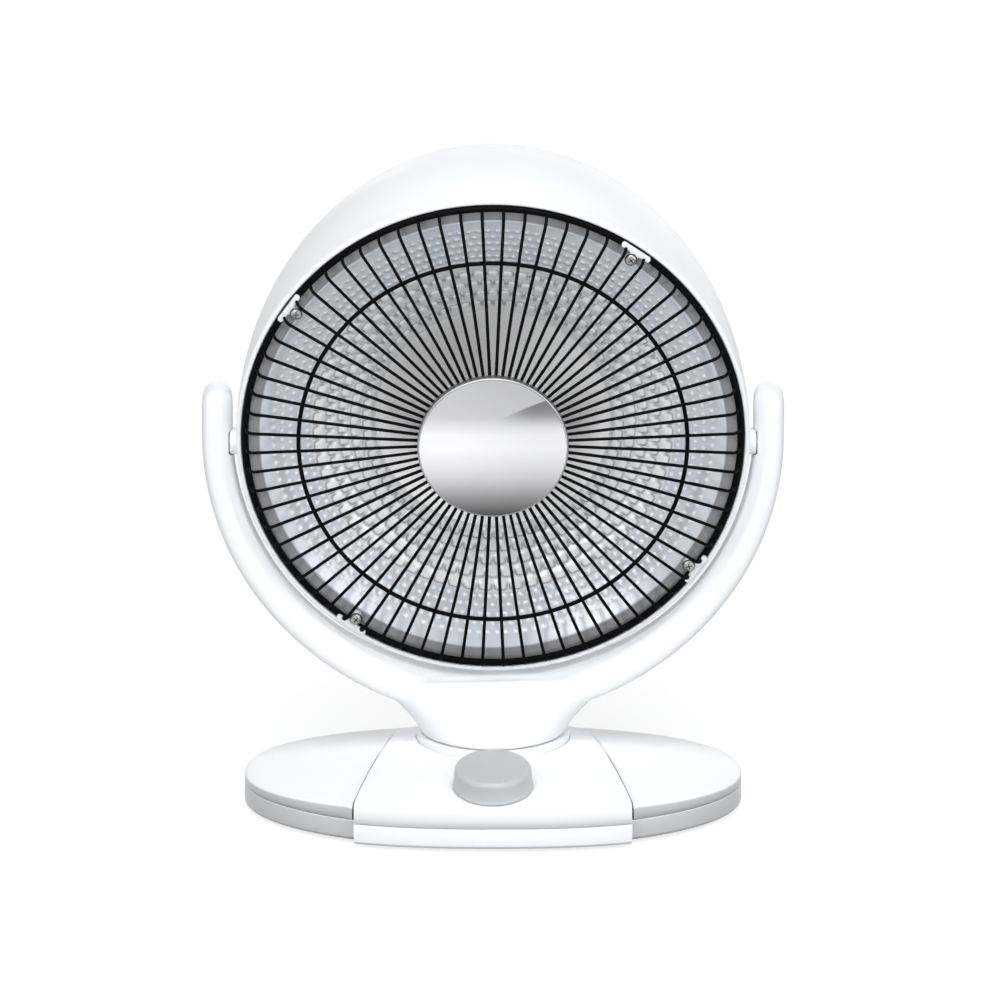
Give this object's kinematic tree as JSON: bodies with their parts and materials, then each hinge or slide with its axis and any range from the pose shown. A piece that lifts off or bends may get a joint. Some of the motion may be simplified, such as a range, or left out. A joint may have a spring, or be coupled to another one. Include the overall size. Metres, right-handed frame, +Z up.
{
  "type": "parabolic heater",
  "caption": "Free-standing radiant heater: a dish reflector with a wound element behind a wire guard, in a hooded head that tilts in a U-shaped yoke on a swivelling base with a control knob.",
  "frame": {"origin": "middle of the whole heater's footprint, on the floor plane under the feet", "axes": "+Z up, -Y to the front, where the dish faces, +X to the right seen from the front"},
  "size_m": [0.348, 0.2454, 0.3925],
  "materials": {
    "white_plastic": "smooth satin moulded plastic",
    "grey_plastic": "satin moulded plastic",
    "black_plastic": "satin",
    "rubber": "matt",
    "steel": "zinc plated",
    "chrome": "polished",
    "bright_aluminium": "polished and dimpled",
    "black_wire": "black enamel",
    "ceramic": "unglazed ceramic",
    "nichrome": "oxidised resistance wire",
    "nylon": "natural nylon"
  },
  "bodies": {
    "base": {"base_tray": "white_plastic", "base_cover": "white_plastic", "control_panel": "white_plastic", "swivel_collar": "white_plastic", "tip_switch_body": "black_plastic", "terminal_block": "nylon", "cord_gland": "grey_plastic", "rotary_switch": "black_plastic", "rubber_foot_1": "rubber", "rubber_foot_2": "rubber", "rubber_foot_3": "rubber", "rubber_foot_4": "rubber", "cover_screw_1": "steel", "cover_screw_2": "steel", "cover_screw_3": "steel", "cover_screw_4": "steel", "panel_screw_1": "steel", "panel_screw_2": "steel", "panel_screw_3": "steel"},
    "tip_plunger": {"tip_plunger": "black_plastic"},
    "knob": {"knob": "grey_plastic", "switch_shaft": "steel"},
    "yoke": {"yoke_front_shell": "white_plastic", "yoke_rear_shell": "white_plastic", "yoke_hub": "nylon", "thrust_washer": "nylon", "swivel_retainer": "steel", "yoke_screw_1": "steel", "yoke_screw_2": "steel", "yoke_screw_3": "steel", "yoke_screw_4": "steel"},
    "head": {"hood": "white_plastic", "back_cover": "white_plastic", "reflector": "bright_aluminium", "guard_rim": "black_wire", "guard_ring": "black_wire", "guard_wires": "black_wire", "guard_cap": "chrome", "cap_screw": "steel", "element_core": "ceramic", "heating_wire": "nichrome", "element_socket": "ceramic", "socket_bracket": "steel", "thermal_cutout": "black_plastic", "back_cover_screw_1": "steel", "back_cover_screw_2": "steel", "back_cover_screw_3": "steel", "back_cover_screw_4": "steel", "guard_clip_1": "white_plastic", "guard_clip_2": "white_plastic", "guard_clip_3": "white_plastic", "guard_clip_4": "white_plastic", "guard_screw_1": "steel", "guard_screw_2": "steel", "guard_screw_3": "steel", "guard_screw_4": "steel", "pivot_bolt_left": "steel", "pivot_washer_left": "nylon", "pivot_bolt_right": "steel", "pivot_washer_right": "nylon"}
  },
  "joints": [
    {"name": "yoke_swivel", "type": "hinge", "parent": "base", "child": "yoke", "pos_m": [0, -0.0167, 0.044], "axis": [0, 0, 1], "range_deg": [-40, 40]},
    {"name": "head_tilt", "type": "hinge", "parent": "yoke", "child": "head", "pos_m": [0, -0.0167, 0.225], "axis": [1, 0, 0], "range_deg": [-32, 8]},
    {"name": "knob_turn", "type": "hinge", "parent": "base", "child": "knob", "pos_m": [0, -0.0937, 0.03323], "axis": [0, -0.2079, 0.9781], "range_deg": [-270, 0]},
    {"name": "tip_plunger_travel", "type": "slide", "parent": "base", "child": "tip_plunger", "axis": [0, 0, -1], "range_m": [0, 0.005], "stiffness_N_per_m": 60, "springref_m": 0.008}
  ]
}
